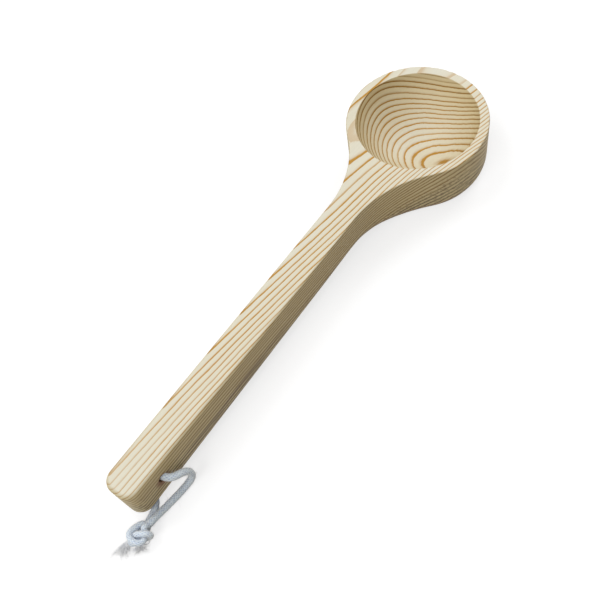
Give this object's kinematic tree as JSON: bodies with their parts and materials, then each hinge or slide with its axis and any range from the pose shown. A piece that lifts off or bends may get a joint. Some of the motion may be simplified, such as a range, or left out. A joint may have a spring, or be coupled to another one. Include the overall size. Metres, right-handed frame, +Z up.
{
  "type": "ladle",
  "caption": "Carved wooden ladle with a round bowl, a flared neck, a long flat-topped handle and a knotted hanging loop of cord.",
  "frame": {"origin": "below the middle of the wooden ladle's length, on the plane of the bowl's flat underside", "axes": "+Z up out of the bowl's mouth, +X along the handle towards the bowl"},
  "size_m": [0.3841, 0.097, 0.04],
  "materials": {
    "pine": "bare, finely sanded softwood with clear growth rings",
    "cord": "soft braided cord, slightly fuzzy"
  },
  "bodies": {
    "root": {"wooden_ladle": "pine", "hanging_cord": "cord", "cord_knot": "cord"}
  },
  "joints": []
}
